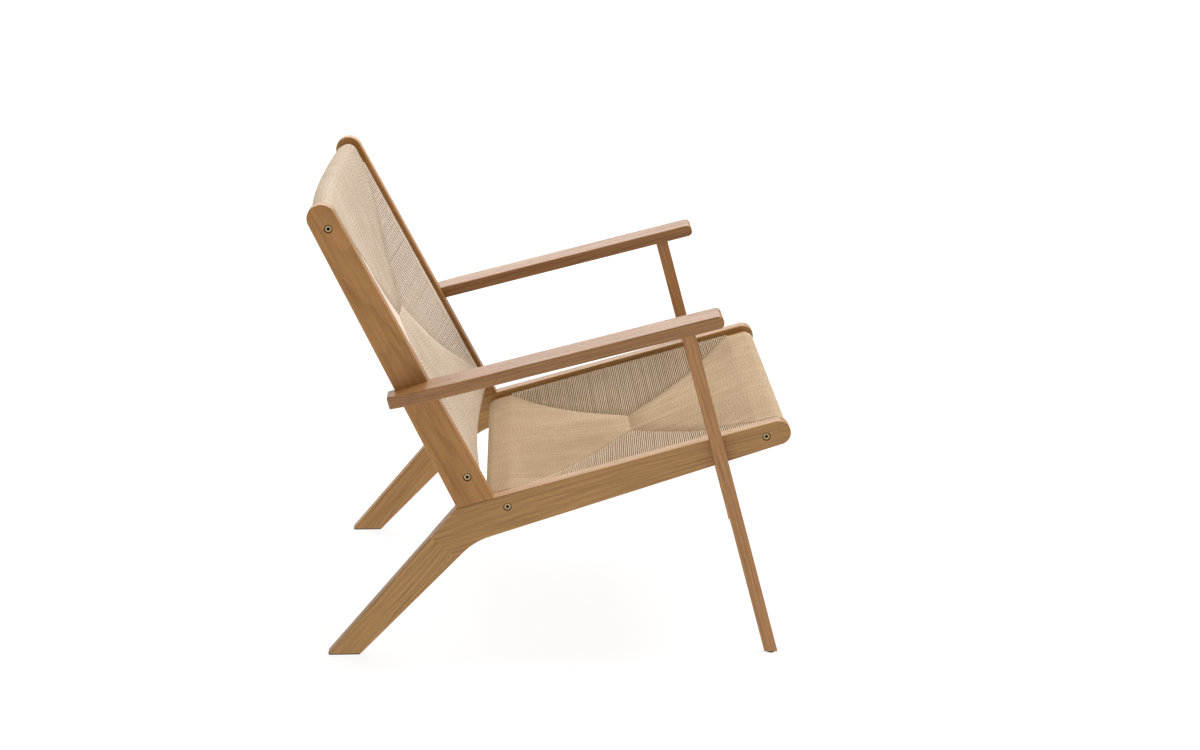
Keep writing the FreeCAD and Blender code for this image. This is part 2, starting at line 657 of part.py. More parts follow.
def armrest(side_name, side):
    name = f"{side_name}_armrest"
    body = doc.addObject("PartDesign::Body", name + "_body")
    place(body, side_view_place(side * number("arm_middle")))
    front = ("Layout.arm_front_forward", "Layout.arm_front_up")
    rear = ("Layout.arm_rear_forward", "Layout.arm_rear_up")
    front_top, rear_top = [(f"{forward} - Sizes.arm_thick * Layout.sin_arm",
                            f"{up} + Sizes.arm_thick * Layout.cos_arm") for forward, up in (front, rear)]
    outline = sketch(body, name + "_outline", "XZ_Plane", [rear, front, front_top, rear_top])
    pad(body, outline, "Sizes.arm_width", midplane=True)
    for corner in (front, front_top):
        round_corner(body, corner, "Sizes.arm_tip_radius")
    waist(body, name, side)
    fillet(body, "Sizes.edge_ease", lambda edge: True)
    notch(body, name, side)
    across = side * number("front_leg_middle")
    holes = dowel_holes(name + "_hole", across, [arm_dowel_start()], FRONT_LEAN, "Sizes.arm_dowel_length")
    holes += screw_holes(name + "_screw", side, [arm_screw_point()], "Layout.arm_screw_length")
    node(cut(name, body, holes), name)


def pocket(body, outline):
    feature = body.newObject("PartDesign::Pocket", outline.Name + "Pocket")
    feature.Profile = outline
    feature.SideType = "Symmetric"
    body.Tip = feature
    return feature


def waist(body, name, side):
    """The armrest's outer edge curves in over its tail. Drawn from above, in the body's frame."""
    tail = "Layout.arm_rear_forward - Sizes.arm_thick"
    start = f"{tail} + Sizes.arm_waist_length"
    beyond = f"{side} * (Sizes.arm_width / 2 + 5)"
    corners = [(tail, f"{side} * (Sizes.arm_width / 2 - Sizes.arm_waist_depth)"),
               (start, f"{side} * Sizes.arm_width / 2"), (start, beyond), (tail, beyond)]
    chord = math.hypot(number("arm_waist_length"), number("arm_waist_depth"))
    radius = number("arm_waist_radius")
    sagitta = radius - math.sqrt(radius ** 2 - (chord / 2) ** 2)
    bends = {0: ("Layout.arm_waist_radius", side * sagitta)}
    outline = sketch(body, name + "_waist", "XY_Plane", corners, bends)
    feature = pocket(body, outline)
    feature.Type = "ThroughAll"
    doc.recompute()


def notch(body, name, side):
    """Room for the post: behind the post's front edge the armrest stays outside the frame's face."""
    low = "(Layout.arm_rear_up - 2 * Sizes.arm_thick)"
    high = "Layout.arm_front_up"
    front_low, front_high = [
        f"Sizes.knee_forward + Sizes.fit_play - ({up} - Sizes.knee_up) * tan(Sizes.back_recline)"
        for up in (low, high)]
    behind = "Layout.arm_rear_forward - 2 * Sizes.arm_thick"
    outline = sketch(body, name + "_notch", "XZ_Plane",
                     [(behind, low), (front_low, low), (front_high, high), (behind, high)])
    depth = "(Sizes.arm_notch + Sizes.fit_play)"
    outline.setExpression("AttachmentOffset.Base.z", f"{side} * (Sizes.arm_width / 2 - {depth} / 2 + 1)")
    feature = pocket(body, outline)
    bind(feature, Length=f"{depth} + 2")
    doc.recompute()


# ---------------------------------------------------------------- seat and back panels

def side_bar(panel, side_name, side):
    """Its ends are bare blocks. Between them it is cut back by the cord that wraps it."""
    name = f"{panel['name']}_{side_name}_bar"
    low_end = f"{panel['low']} - Sizes.bar_width"
    high_end = f"{panel['high']} + Sizes.bar_width"
    inner = f"{side} * Layout.opening_half"
    outer = f"{side} * Layout.panel_half"
    wrapped = f"{side} * (Layout.panel_half - Sizes.cord_thick)"
    body = doc.addObject("PartDesign::Body", name + "_body")
    outline = sketch(body, name + "_outline", "XY_Plane",
                     [(inner, low_end), (outer, low_end), (outer, panel["low"]), (wrapped, panel["low"]),
                      (wrapped, panel["high"]), (outer, panel["high"]), (outer, high_end), (inner, high_end)])
    pad(body, outline, "Sizes.bar_thick")
    thick = number("bar_thick")
    for end in (low_end, high_end):
        for face in (0, thick):
            along, height = value(end), face
            fillet(body, "Sizes.bar_round", lambda edge: crosses(edge, along, height, axis="x"))
    place(body, panel_place(panel["tilt"], 0, 0, number("bar_bottom")))
    holes = [bolt_clearance(f"{name}_bolt_{index}", panel, side, y)
             for index, y in enumerate(bolt_places(panel))]
    holes += corner_dowels(name + "_hole", panel, side, "Sizes.fit_play", "Sizes.end_play")
    node(cut(name, body, holes), name)


def band(name, panel, half, depth, faces, y_high, rounds):
    """A bar across the panel, with its faces bowed on the back panel. It spans depth downwards
    from y_high. rounds gives the radius of its long edges at y_high and at the other side, if any."""
    top, bottom = faces
    body = doc.addObject("PartDesign::Body", name)
    bends = {}
    if panel["bowed"]:
        bow = -number("back_bow")
        bends = {0: ("Layout.bow_radius", bow), 2: ("Layout.bow_radius", bow)}
    outline = sketch(body, name + "_outline", "XZ_Plane",
                     [(f"-({half})", bottom), (half, bottom), (half, top), (f"-({half})", top)], bends)
    pad(body, outline, depth)
    for along, radius in zip((0, -value(depth)), rounds):
        fillet(body, radius, lambda edge: long_edge(edge, along, 1.5 * value(half)))
    return place(body, panel_place(panel["tilt"], 0, y_high, 0))


def long_edge(edge, along, length):
    return edge.Length > length and all(abs(vertex.Point.y - along) < 0.05 for vertex in edge.Vertexes)


def cross_bar(panel, bar_name, y_high, rounds):
    name = f"{panel['name']}_{bar_name}_bar"
    body = band(name + "_body", panel, "Layout.opening_half", "Sizes.bar_width",
                ("Layout.bar_top", "Layout.bar_bottom"), y_high, rounds)
    holes = []
    for side_name, side in SIDES:
        for index, y in enumerate(bolt_places(panel)):
            if y_high - number("bar_width") < y < y_high:
                mark = f"{name}_{side_name}_{index}"
                holes.append(insert_body(mark + "_insert", panel, side, y, "Sizes.fit_play"))
                holes.append(bolt_clearance(mark + "_bolt", panel, side, y))
                holes += corner_dowels(mark + "_hole", panel, side, "Sizes.fit_play", "Sizes.end_play")
    node(cut(name, body, holes), name)


def panel_axis(panel, side, x, y, z):
    """Frame whose Z points out of the chair on the given side, from (x, y, z) of a panel."""
    turn = FreeCAD.Rotation(FreeCAD.Vector(0, 1, 0), 90 * side)
    start = panel_place(panel["tilt"], side * x, y, z).Base
    return FreeCAD.Placement(start, turn)


def bolt_clearance(name, panel, side, y):
    """The bolt's hole from beyond its tip to the outer face of the side bar."""
    start = number("frame_outer") - number("bolt_head_recess") - number("bolt_head_height")
    start -= number("bolt_reach") + number("end_play")
    axis = panel_axis(panel, side, start, y, -number("bolt_depth"))
    return cylinder(name, "Sizes.bolt_diameter / 2 + Sizes.bolt_play",
                    "Layout.bolt_reach + Sizes.end_play + Sizes.bolt_head_height", axis)


def insert_body(name, panel, side, y, play="0"):
    start = number("opening_half") - number("insert_length")
    axis = panel_axis(panel, side, start, y, -number("bolt_depth"))
    return cylinder(name, f"Sizes.insert_diameter / 2 + {play}", "Sizes.insert_length", axis)


def corner_dowels(name, panel, side, play="0", end_play="0"):
    """Two dowels across each corner joint, beside the bolt's insert."""
    made = []
    start = (number("opening_half") + number("corner_dowel_depth") - number("corner_dowel_length")
             - value(end_play))
    height = (number("bar_top") + number("bar_bottom")) / 2
    for end, direction in ((value(panel["low"]), -1), (value(panel["high"]), 1)):
        for beyond in (number("corner_dowel_near"), number("corner_dowel_far")):
            y = end + direction * beyond
            axis = panel_axis(panel, side, start, y, height)
            made.append(cylinder(f"{name}_{len(made)}", f"Sizes.dowel_diameter / 2 + {play}",
                                 f"Sizes.corner_dowel_length + 2 * {end_play}", axis))
    return made


def dish_wedges(name, panel, lower):
    """The hollow in the middle of the weave: a steep rim, then a gentler funnel. lower sinks it."""
    rim_depth = f"{panel['dish']} * 2 / 3"
    middle = value(f"({panel['low']} + {panel['high']}) / 2")
    half_x = "Layout.opening_half"
    half_y = f"({panel['high']} - {panel['low']}) / 2"
    flat = f"({half_y} - 10)"
    steps = (("rim", "0", rim_depth, "0", "Sizes.dish_rim"),
             ("funnel", rim_depth, panel["dish"], "Sizes.dish_rim", flat))
    made = []
    for step_name, start, end, inset, inset_below in steps:
        wedge = doc.addObject("Part::Wedge", f"{name}_{step_name}")
        bind(wedge, Ymin=start, Ymax=end, Xmin=f"-({half_x} - {inset})", Xmax=f"{half_x} - {inset}",
             Zmin=f"-({half_y} - {inset})", Zmax=f"{half_y} - {inset}",
             X2min=f"-({half_x} - {inset_below})", X2max=f"{half_x} - {inset_below}",
             Z2min=f"-({half_y} - {inset_below})", Z2max=f"{half_y} - {inset_below}")
        down = FreeCAD.Placement(FreeCAD.Vector(), FreeCAD.Rotation(FreeCAD.Vector(1, 0, 0), -90))
        height = number("weave_top") - value(lower)
        made.append(place(wedge, panel_place(panel["tilt"], 0, middle, height).multiply(down)))
    return fuse(name, made)


def weave(panel):
    """Closed form of the cord: a case round the bars, open at the corners, dished in the middle."""
    name = f"{panel['name']}_weave"
    play = number("cord_play")
    gap = "Sizes.panel_gap"
    high = value(panel["high"])
    wrap = number("bar_width") + number("cord_thick")
    opening = f"({panel['high']} - {panel['low']})"
    faces = ("Layout.weave_top", "Layout.weave_bottom")
    hollow_faces = ("Layout.bar_top + Sizes.cord_play", "Layout.bar_bottom - Sizes.cord_play")
    outer_round = "Layout.weave_round"
    hollow_round = "Sizes.bar_round"
    outer = fuse(name + "_outer", [
        band(name + "_lengthwise", panel, f"Layout.opening_half - {gap}",
             f"{opening} + 2 * (Sizes.bar_width + Sizes.cord_thick)", faces, high + wrap,
             (outer_round, outer_round)),
        side_case(name + "_crosswise", panel, "Layout.panel_half", gap, faces)])
    hollow = fuse(name + "_hollow", [
        band(name + "_bar_space", panel, "Layout.opening_half + 1",
             f"{opening} + 2 * (Sizes.bar_width + Sizes.cord_play)", hollow_faces,
             high + number("bar_width") + play, (hollow_round, hollow_round)),
        side_case(name + "_side_space", panel, "Layout.panel_half - Sizes.cord_thick + Sizes.cord_play",
                  "-Sizes.cord_play", hollow_faces)])
    case = cut(name + "_case", outer, [hollow])
    room = band(name + "_dish_room", panel, f"Layout.opening_half - {gap}", opening,
                ("Layout.weave_top", "Layout.weave_bottom - Sizes.cord_thick"), high, ())
    floor = doc.addObject("Part::MultiCommon", name + "_floor")
    floor.Shapes = [dish_wedges(name + "_sunk", panel, "Sizes.cord_thick - Sizes.cord_play"), room]
    dished = cut(name, fuse(name + "_filled", [case, floor]), [dish_wedges(name + "_dish", panel, "0")])
    node(dished, name)


def side_case(name, panel, half, gap, faces):
    """A box over the opening's length, for the cord round the side bars."""
    top, bottom = faces
    height = f"({top}) - ({bottom})"
    length = f"{panel['high']} - {panel['low']} - 2 * ({gap})"
    corner = panel_place(panel["tilt"], -value(half), value(panel["low"]) + value(gap), value(bottom))
    return box(name, f"2 * ({half})", length, height, corner)


# ---------------------------------------------------------------- bolts, inserts, screws, dowels, pads

def bolt(name, panel, side, y):
    """Cap bolt with a hex socket, its head just below the side frame's outer face."""
    face = number("frame_outer") - number("bolt_head_recess")
    under = face - number("bolt_head_height")
    depth = -number("bolt_depth")
    head = cylinder(name + "_head", "Sizes.bolt_head_diameter / 2", "Sizes.bolt_head_height",
                    panel_axis(panel, side, under, y, depth))
    shank = cylinder(name + "_shank", "Sizes.bolt_diameter / 2", "Layout.bolt_reach",
                     panel_axis(panel, side, under - number("bolt_reach"), y, depth))
    socket = doc.addObject("Part::Prism", name + "_socket")
    bind(socket, Circumradius="Sizes.bolt_socket / 2 / cos(30)", Height="Sizes.bolt_socket_depth + 1")
    place(socket, panel_axis(panel, side, face - number("bolt_socket_depth"), y, depth))
    return cut(name, fuse(name + "_blank", [head, shank]), [socket])


def threaded_insert(name, panel, side, y):
    """A sleeve; its bore clears the bolt by the same play as the other fits."""
    start = number("opening_half") - number("insert_length") - 1
    bore = cylinder(name + "_bore", "Sizes.bolt_diameter / 2 + Sizes.fit_play", "Sizes.insert_length + 2",
                    panel_axis(panel, side, start, y, -number("bolt_depth")))
    return cut(name, insert_body(name + "_sleeve", panel, side, y), [bore])


def screw(name, side, point, length):
    """Countersunk wood screw, its head flush with the side frame's inner face."""
    axis = across_axis(side, number("frame_inner"), *point)
    shank = cylinder(name + "_shank", "Sizes.screw_diameter / 2", length, axis)
    head = doc.addObject("Part::Cone", name + "_head")
    bind(head, Radius1="Sizes.screw_head_diameter / 2", Radius2="Sizes.screw_diameter / 2",
         Height="Sizes.screw_head_height")
    place(head, axis)
    socket = doc.addObject("Part::Prism", name + "_socket")
    bind(socket, Circumradius="Sizes.screw_diameter / 3", Height="Sizes.screw_head_height / 2")
    place(socket, axis)
    return cut(name, fuse(name + "_blank", [shank, head]), [socket])


def panel_hardware(panel):
    name = panel["name"]
    marks = [(side_name, side, index, y) for side_name, side in SIDES
             for index, y in enumerate(bolt_places(panel))]
    group(f"{name}_panel_bolts", [bolt(f"{name}_bolt_{mark}_{index}", panel, side, y)
                                  for mark, side, index, y in marks])
    group(f"{name}_bolt_inserts", [threaded_insert(f"{name}_insert_{mark}_{index}", panel, side, y)
                                   for mark, side, index, y in marks])
    pegs = []
    for side_name, side in SIDES:
        pegs += corner_dowels(f"{name}_peg_{side_name}", panel, side)
    group(f"{name}_corner_dowels", pegs)


def frame_hardware(side_name, side):
    middle = side * number("frame_middle")
    group(f"{side_name}_leg_dowels", dowels(f"{side_name}_leg_peg", middle, scarf_dowel_starts(), LEG_LEAN))
    group(f"{side_name}_post_dowels",
          dowels(f"{side_name}_post_peg", middle, post_dowel_starts(), PITCH_LEAN))
    group(f"{side_name}_arm_dowel",
          dowels(f"{side_name}_arm_peg", side * number("front_leg_middle"), [arm_dowel_start()],
                 FRONT_LEAN, "Sizes.arm_dowel_length"))
    node(screw(f"{side_name}_arm_screw_body", side, arm_screw_point(), "Layout.arm_screw_length"),
         f"{side_name}_arm_screw")
    group(f"{side_name}_leg_screws",
          [screw(f"{side_name}_leg_screw_{index}", side, point, "Layout.leg_screw_length")
           for index, point in enumerate(leg_screw_points())])


def foot_pads(side_name, side):
    """A flat pad under the rear foot, and a round one under the front leg."""
    inset = number("glide_inset")
    corner = side_view_point(side * number("frame_middle") - number("frame_thick") / 2 + inset,
                             number("leg_front_toe") - inset, 0)
    node(box(f"{side_name}_rear_pad", "Sizes.frame_thick - 2 * Sizes.glide_inset",
             "Layout.leg_front_toe - Layout.leg_back_toe - 2 * Sizes.glide_inset", "Sizes.glide_thick",
             FreeCAD.Placement(corner, FreeCAD.Rotation())), f"{side_name}_rear_foot_pad")
    spot = side_view_point(side * number("front_leg_middle"),
                           number("toe_forward") - number("toe_shift"), 0)
    node(cylinder(f"{side_name}_front_pad", "Sizes.front_leg_thick / 2 - Sizes.glide_inset / 2",
                  "Sizes.glide_thick", FreeCAD.Placement(spot, FreeCAD.Rotation())),
         f"{side_name}_front_foot_pad")


# ---------------------------------------------------------------- the chair

for side_name, side in SIDES:
    rear_leg(side_name, side)
    seat_rail(side_name, side)
    back_post(side_name, side)
    front_leg(side_name, side)
    armrest(side_name, side)
    frame_hardware(side_name, side)
    foot_pads(side_name, side)

for panel in (SEAT, BACK):
    low_y, high_y = value(panel["low"]), value(panel["high"])
    cross_bar(panel, panel["low_bar"], low_y, ("Sizes.bar_inner_round", "Sizes.bar_round"))
    cross_bar(panel, panel["high_bar"], high_y + number("bar_width"),
              ("Sizes.bar_round", "Sizes.bar_inner_round"))
    for side_name, side in SIDES:
        side_bar(panel, side_name, side)
    weave(panel)
    panel_hardware(panel)

doc.recompute()


# ---------------------------------------------------------------- checks and files

def check_document():
    for thing in doc.Objects:
        bad = {"Invalid", "Error"} & set(thing.State)
        if bad:
            raise RuntimeError(f"{thing.Name} did not build: {thing.State}")
    for piece in NODES:
        if piece.Shape.isNull() or not piece.Shape.isValid() or not piece.Shape.Solids:
            raise RuntimeError(f"{piece.Label} has no valid solid")


check_document()
os.makedirs("parts", exist_ok=True)
for piece in NODES:
    piece.Shape.exportStep(f"parts/{piece.Label}.step")
    box_of = piece.Shape.BoundBox
    print(f"{piece.Label:26s} {len(piece.Shape.Solids)} solid(s)  "
          f"{box_of.XLength:7.1f} x {box_of.YLength:7.1f} x {box_of.ZLength:7.1f} mm")
print(len(NODES), "sub-parts")
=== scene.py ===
import math

import bpy
import numpy as np
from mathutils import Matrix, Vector


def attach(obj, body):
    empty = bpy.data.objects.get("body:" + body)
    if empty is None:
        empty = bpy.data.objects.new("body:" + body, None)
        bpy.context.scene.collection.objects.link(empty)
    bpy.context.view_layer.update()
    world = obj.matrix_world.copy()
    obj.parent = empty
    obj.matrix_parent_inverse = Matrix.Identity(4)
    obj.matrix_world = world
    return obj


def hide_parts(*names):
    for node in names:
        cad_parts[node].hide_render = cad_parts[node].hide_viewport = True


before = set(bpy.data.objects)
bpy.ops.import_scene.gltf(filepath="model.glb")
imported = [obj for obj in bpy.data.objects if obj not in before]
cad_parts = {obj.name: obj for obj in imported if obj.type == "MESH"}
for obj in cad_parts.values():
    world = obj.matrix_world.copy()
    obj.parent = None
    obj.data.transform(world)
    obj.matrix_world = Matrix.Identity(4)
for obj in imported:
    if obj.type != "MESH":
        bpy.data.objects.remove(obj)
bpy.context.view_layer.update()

# Lounge armchair: oiled oak side frames with a seat panel and a back panel of woven paper cord.
# Metres throughout. A panel's own frame starts at the knee, where rail and post meet: x across the
# chair, y along the panel (backwards on the seat, upwards on the back), z out towards the sitter.

MM = 0.001
KNEE = np.array([0.0, 0.09194, 0.2637])
SEAT_TILT = math.radians(-15.3)
BACK_TILT = math.radians(63)
LEG_TILT = math.radians(-49.4)
FRONT_LEG_TILT = math.radians(90 - 14.75)
ARM_TILT = math.radians(-14.07)

OPENING_HALF = 254.75 * MM      # inner faces of a panel's side bars
BAR_TOP = -9.5 * MM             # face of the bars towards the sitter
BAR_BOTTOM = -39.5 * MM
CROSS_BAR = 41 * MM             # width of a cross bar along the panel
SIDE_BAR = 17.5 * MM            # width of a side bar under its cord
CROSS_BAR_ROUND = 12 * MM
SIDE_BAR_ROUND = 2.5 * MM
CORD_RADIUS = 1.62 * MM
CORD_PITCH = 3.2 * MM
CORD_SIDES = 8
TWISTS_PER_METRE = 155.0
PLIES = 2.0
BAR_LIP = 3.5 * MM              # where a cord leaves the bar's face
RUN_SHARES = (0.0, 0.04, 0.2, 0.4, 0.6, 0.8, 1.0)
SEAM_DIP = 0.8 * MM             # a cord turns down this far before the seam
SEAM_DROP = 2.2 * MM
SIDE_CORD_RADIUS = 1.05 * MM    # the cords over the side bars are pulled thinner
# The inner cords are painted near-black: painted shadow in the gaps between the outer cords.
UNDER_CORD_SINK = 1.35 * MM     # a dark inner cord fills each gap between them, this much lower
DARKEST_SHADE = 1.4             # no outer cord is darker
FULL_GAP_SHADOW = 2.0               # an inner cord turns from dark paper to black between the two
LONG_CORD_SLACK = 0.12 * MM     # sideways bend of a cord over a cross bar
SIDE_CORD_SLACK = 0.1 * MM
SIDE_CORD_SPREAD = 0.2 * MM     # how unevenly the cords over a side bar lie in height
DEEPEST_HOLLOW = 28 * MM
BELLY_SAG = 6 * MM              # of the underside's cords, below the deepest hollow
ACROSS = np.array([1.0, 0.0, 0.0])

# seam_half is half the length of the seam in the middle, where the two long fields meet. Of the three shade
# keys, the high one darkens the cords over the high bar, which is the seat's rear one, as painted shade cast
# by the back; the side one darkens those over the side bars as painted shade, or lightens them as painted
# light where it is negative, as on the back; and the inner one is the shade of the inner cords, painted
# near-black as the shadow in the gaps. The low and high profiles give the hollow's depth in mm along the
# diagonals, from a corner to the seam.
PANELS = {
    "seat": {
        "tilt": SEAT_TILT, "low": -433.0 * MM, "high": -25.5 * MM, "bow": 0.0, "seam_half": 40 * MM,
        "high_painted_shade": 0.8, "side_painted_shade": 0.3, "inner_painted_shadow": 2.0,
        "low_profile": ((0, 0.16, 0.26, 0.38, 0.5, 0.7, 0.9, 1), (0, 6, 12.5, 18.5, 23, 26, 27.8, 28.3)),
        "high_profile": ((0, 0.08, 0.16, 0.26, 0.4, 0.56, 0.72, 1), (0, 4.5, 10, 16, 21, 25, 27, 28.3)),
    },
    "back": {
        "tilt": BACK_TILT, "low": 62 * MM, "high": 487.8 * MM, "bow": 12 * MM, "seam_half": 33 * MM,
        "high_painted_shade": 0.0, "side_painted_shade": -0.7, "inner_painted_shadow": 1.9,
        "low_profile": ((0, 0.1, 0.2, 0.37, 0.5, 0.62, 0.8, 1), (0, 5.5, 10.5, 19.5, 24, 26, 27, 27.5)),
        "high_profile": ((0, 0.18, 0.41, 0.52, 0.64, 0.8, 0.94, 1), (0, 5, 10, 14.5, 19, 23.5, 26.5, 27.5)),
    },
}


# ---------------------------------------------------------------- shader nodes

def add_node(tree, kind, settings=None, **inputs):
    """A node with its settings, and its inputs by socket name with spaces as underscores."""
    node = tree.nodes.new(kind)
    for name, setting in (settings or {}).items():
        setattr(node, name, setting)
    for name, source in inputs.items():
        feed(tree, node, name.replace("_", " "), source)
    return node


def feed(tree, node, socket, source):
    target = node.inputs[int(socket)] if socket.isdigit() else node.inputs[socket]
    if isinstance(source, bpy.types.NodeSocket):
        tree.links.new(source, target)
    else:
        target.default_value = source


def arithmetic(tree, operation, a, b=0.0, clamp=False):
    node = tree.nodes.new("ShaderNodeMath")
    node.operation = operation
    node.use_clamp = clamp
    feed(tree, node, "0", a)
    feed(tree, node, "1", b)
    return node.outputs[0]


def vector_arithmetic(tree, operation, a, b=(0, 0, 0)):
    node = tree.nodes.new("ShaderNodeVectorMath")
    node.operation = operation
    feed(tree, node, "0", a)
    feed(tree, node, "1", b)
    return node.outputs["Value" if operation == "LENGTH" else "Vector"]


def ranged(tree, source, from_low, from_high, to_low=0.0, to_high=1.0):
    node = add_node(tree, "ShaderNodeMapRange", {"interpolation_type": "SMOOTHSTEP"}, Value=source,
                    From_Min=from_low, From_Max=from_high, To_Min=to_low, To_Max=to_high)
    return node.outputs["Result"]


def noise(tree, place, scale, detail=2.0, roughness=0.5):
    node = add_node(tree, "ShaderNodeTexNoise", Vector=place, Scale=scale, Detail=detail,
                    Roughness=roughness)
    return node.outputs["Fac"]


def blend_colours(tree, share, first, second, blend="MIX"):
    node = add_node(tree, "ShaderNodeMix", {"data_type": "RGBA", "blend_type": blend})
    for socket, source in ((0, share), (6, first), (7, second)):
        feed(tree, node, str(socket), source)
    return node.outputs[2]


def new_group(name, inputs, outputs):
    tree = bpy.data.node_groups.new(name, "ShaderNodeTree")
    for direction, sockets in (("INPUT", inputs), ("OUTPUT", outputs)):
        for socket_name, kind, start in sockets:
            socket = tree.interface.new_socket(socket_name, in_out=direction, socket_type=kind)
            if start is not None:
                socket.default_value = start
    return tree, tree.nodes.new("NodeGroupInput"), tree.nodes.new("NodeGroupOutput")


def use_group(tree, group, **inputs):
    node = tree.nodes.new("ShaderNodeGroup")
    node.node_tree = group
    for name, source in inputs.items():
        feed(tree, node, name.replace("_", " "), source)
    return node


def new_material(name):
    material = bpy.data.materials.new(name)
    material.use_nodes = True
    tree = material.node_tree
    return material, tree, tree.nodes["Principled BSDF"]


# ---------------------------------------------------------------- oak

RINGS_PER_METRE = 235.0
RING_DRIFT = (0.034, 0.0, 0.034)        # how far the rings wander, in metres
HEART = (0.045, 0.0, 0.012)             # middle of the tree, from the board's own origin
SEED_STEP = (0.013, 1.7, 0.009)         # from one board's place in the tree to the next one's
# How far each mark is drawn out along the grain: the share of its length that is left.
CLOUD_STRETCH, RING_STRETCH, FIBRE_STRETCH, PORE_STRETCH, STREAK_STRETCH = 0.16, 0.045, 0.018, 0.05, 0.03


def make_oak_grain():
    """Solid oak. Place runs along the grain in Y. The rings are cut by every face as in a real board."""
    tree, given, out = new_group(
        "oak_grain",
        [("Place", "NodeSocketVector", None), ("Seed", "NodeSocketFloat", 0.0),
         ("Light Wood", "NodeSocketColor", (0.5, 0.3, 0.14, 1)),
         ("Dark Wood", "NodeSocketColor", (0.28, 0.15, 0.06, 1))],
        [("Colour", "NodeSocketColor", None), ("Roughness", "NodeSocketFloat", None),
         ("Height", "NodeSocketFloat", None)])
    steps = {axis: arithmetic(tree, "MULTIPLY", given.outputs["Seed"], step)
             for axis, step in zip("XYZ", SEED_STEP)}
    shift = add_node(tree, "ShaderNodeCombineXYZ", **steps)
    board = vector_arithmetic(tree, "ADD", given.outputs["Place"], shift.outputs[0])

    def drawn_out(stretch):
        return vector_arithmetic(tree, "MULTIPLY", board, (1, stretch, 1))

    clouded = drawn_out(CLOUD_STRETCH)
    wander = add_node(tree, "ShaderNodeTexNoise", Vector=clouded, Scale=14.0, Detail=2.0)
    drift = vector_arithmetic(tree, "SUBTRACT", wander.outputs["Color"], (0.5, 0.5, 0.5))
    drift = vector_arithmetic(tree, "MULTIPLY", drift, RING_DRIFT)
    from_heart = vector_arithmetic(tree, "ADD", drawn_out(RING_STRETCH), drift)
    from_heart = vector_arithmetic(tree, "SUBTRACT", from_heart, HEART)
    distance = vector_arithmetic(tree, "LENGTH", from_heart)
    uneven = noise(tree, clouded, 60.0, 1.0)
    rings = arithmetic(tree, "ADD", arithmetic(tree, "MULTIPLY", distance, RINGS_PER_METRE),
                       arithmetic(tree, "MULTIPLY", uneven, 0.9))
    ring = arithmetic(tree, "FRACT", rings)
    late_wood = arithmetic(tree, "MULTIPLY", ranged(tree, ring, 0.25, 0.92), ranged(tree, ring, 1.0, 0.93))
    fibres = noise(tree, drawn_out(FIBRE_STRETCH), 620.0, 3.0, 0.65)
    pores = ranged(tree, noise(tree, drawn_out(PORE_STRETCH), 1500.0, 1.0), 0.62, 0.72)
    pores = arithmetic(tree, "MULTIPLY", pores, ranged(tree, ring, 0.55, 0.2, 0.35, 1.0))
    cloud = noise(tree, clouded, 9.0, 2.0)
    streaks = noise(tree, drawn_out(STREAK_STRETCH), 170.0, 2.0)
    darkness = arithmetic(tree, "MULTIPLY", late_wood, 0.24)
    for marks, none, full, weight in ((streaks, 0.38, 0.68, 0.26), (fibres, 0.35, 0.7, 0.30),
                                      (cloud, 0.3, 0.72, 0.26)):
        darkness = arithmetic(tree, "ADD", darkness, ranged(tree, marks, none, full, 0.0, weight))
    darkness = arithmetic(tree, "ADD", darkness, arithmetic(tree, "MULTIPLY", pores, 0.4), clamp=True)
    colour = blend_colours(tree, darkness, given.outputs["Light Wood"], given.outputs["Dark Wood"])
    roughness = ranged(tree, darkness, 0.1, 1.0, 0.40, 0.58)
    height = arithmetic(tree, "SUBTRACT", arithmetic(tree, "MULTIPLY", fibres, 0.35),
                        arithmetic(tree, "ADD", pores, arithmetic(tree, "MULTIPLY", late_wood, 0.15)))
    for socket, source in (("Colour", colour), ("Roughness", roughness), ("Height", height)):
        tree.links.new(source, out.inputs[socket])
    return tree


OAK_GRAIN = make_oak_grain()
LIGHT_OAK = (0.45, 0.215, 0.058, 1)
DARK_OAK = (0.215, 0.09, 0.019, 1)
LIGHT_BEECH = (0.68, 0.5, 0.32, 1)
DARK_BEECH = (0.5, 0.34, 0.2, 1)
GRAIN_RELIEF = 0.4 * MM
OIL_SHEEN = {"Coat Weight": 0.06, "Coat Roughness": 0.35}


def make_oak(name, seed, tilt=0.0, across=False, light=LIGHT_OAK, dark=DARK_OAK):
    """Oak whose grain runs along a tilt in the side view, or across the chair."""
    material, tree, surface = new_material(name)
    place = add_node(tree, "ShaderNodeTexCoord").outputs["Object"]
    turn = (0, 0, math.radians(90)) if across else (-tilt, 0, 0)
    place = add_node(tree, "ShaderNodeMapping", Vector=place, Rotation=turn).outputs[0]
    grain = use_group(tree, OAK_GRAIN, Place=place, Seed=float(seed), Light_Wood=light, Dark_Wood=dark)
    bump = add_node(tree, "ShaderNodeBump", Strength=0.35, Distance=GRAIN_RELIEF,
                    Height=grain.outputs["Height"])
    feed(tree, surface, "Base Color", grain.outputs["Colour"])
    feed(tree, surface, "Roughness", grain.outputs["Roughness"])
    feed(tree, surface, "Normal", bump.outputs[0])
    for socket, amount in OIL_SHEEN.items():
        surface.inputs[socket].default_value = amount
    return material


def dress(node_name, material):
    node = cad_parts[node_name]
    node.data.materials.clear()
    node.data.materials.append(material)
    return node


